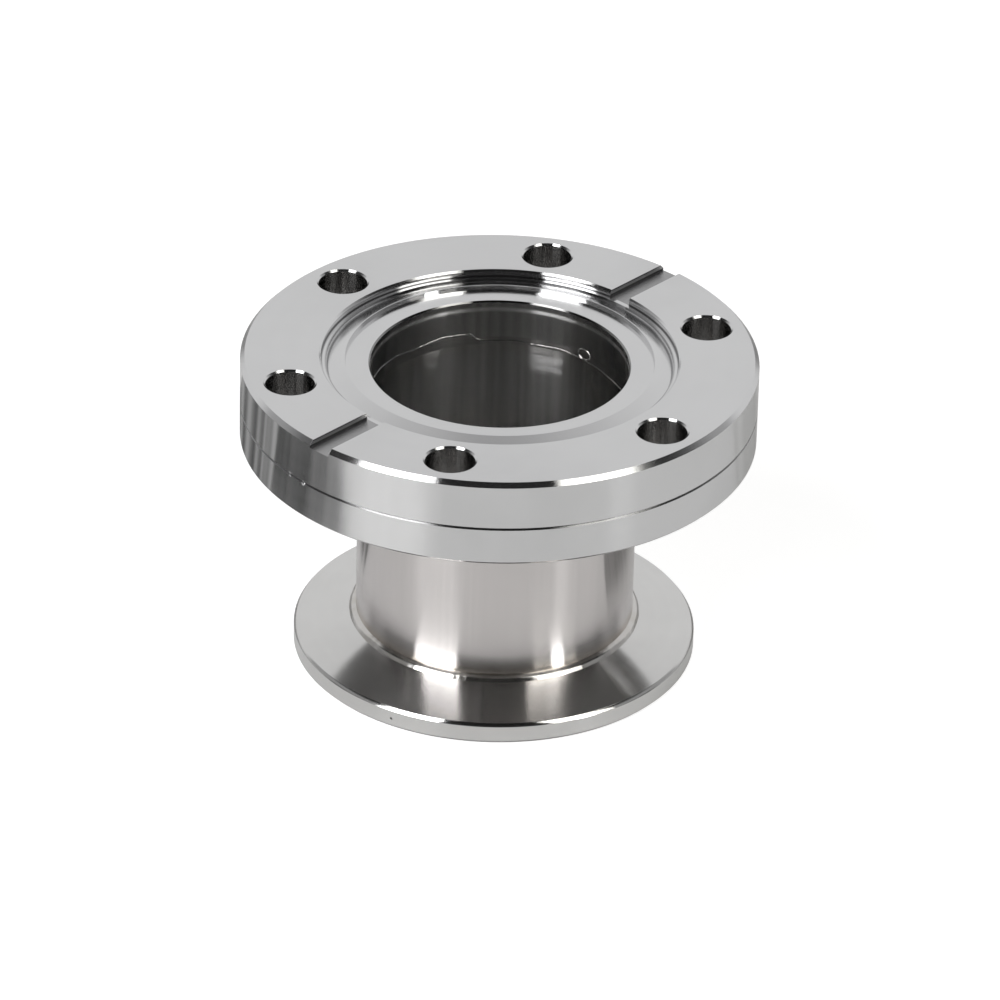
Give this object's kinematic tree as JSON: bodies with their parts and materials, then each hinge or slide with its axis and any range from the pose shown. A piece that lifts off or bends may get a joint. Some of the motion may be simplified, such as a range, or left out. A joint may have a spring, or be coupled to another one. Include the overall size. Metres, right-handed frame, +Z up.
{
  "type": "vacuum flange adapter",
  "caption": "Stainless steel vacuum adapter: a bolted knife-edge flange joined by a short welded tube to a quick-clamp flange, with an open bore right through.",
  "frame": {"origin": "centre of the clamp flange's sealing face, which the adapter stands on", "axes": "+Z up the bore axis to the knife-edge face; the two leak-check grooves lie along X, midway between bolt holes"},
  "size_m": [0.07, 0.07, 0.0446],
  "materials": {
    "turned_steel": "bright turned stainless steel with fine tool rings",
    "tube_steel": "satin polished stainless tube, lightly drawn lengthwise",
    "clamp_steel": "bright turned stainless steel taper, finer than the rim",
    "weld_metal": "rippled fused weld with a faint straw tint"
  },
  "bodies": {
    "root": {"knife_edge_flange": "turned_steel", "neck_tube": "tube_steel", "clamp_flange": "clamp_steel", "upper_weld_bead": "weld_metal", "lower_weld_bead": "weld_metal"}
  },
  "joints": []
}
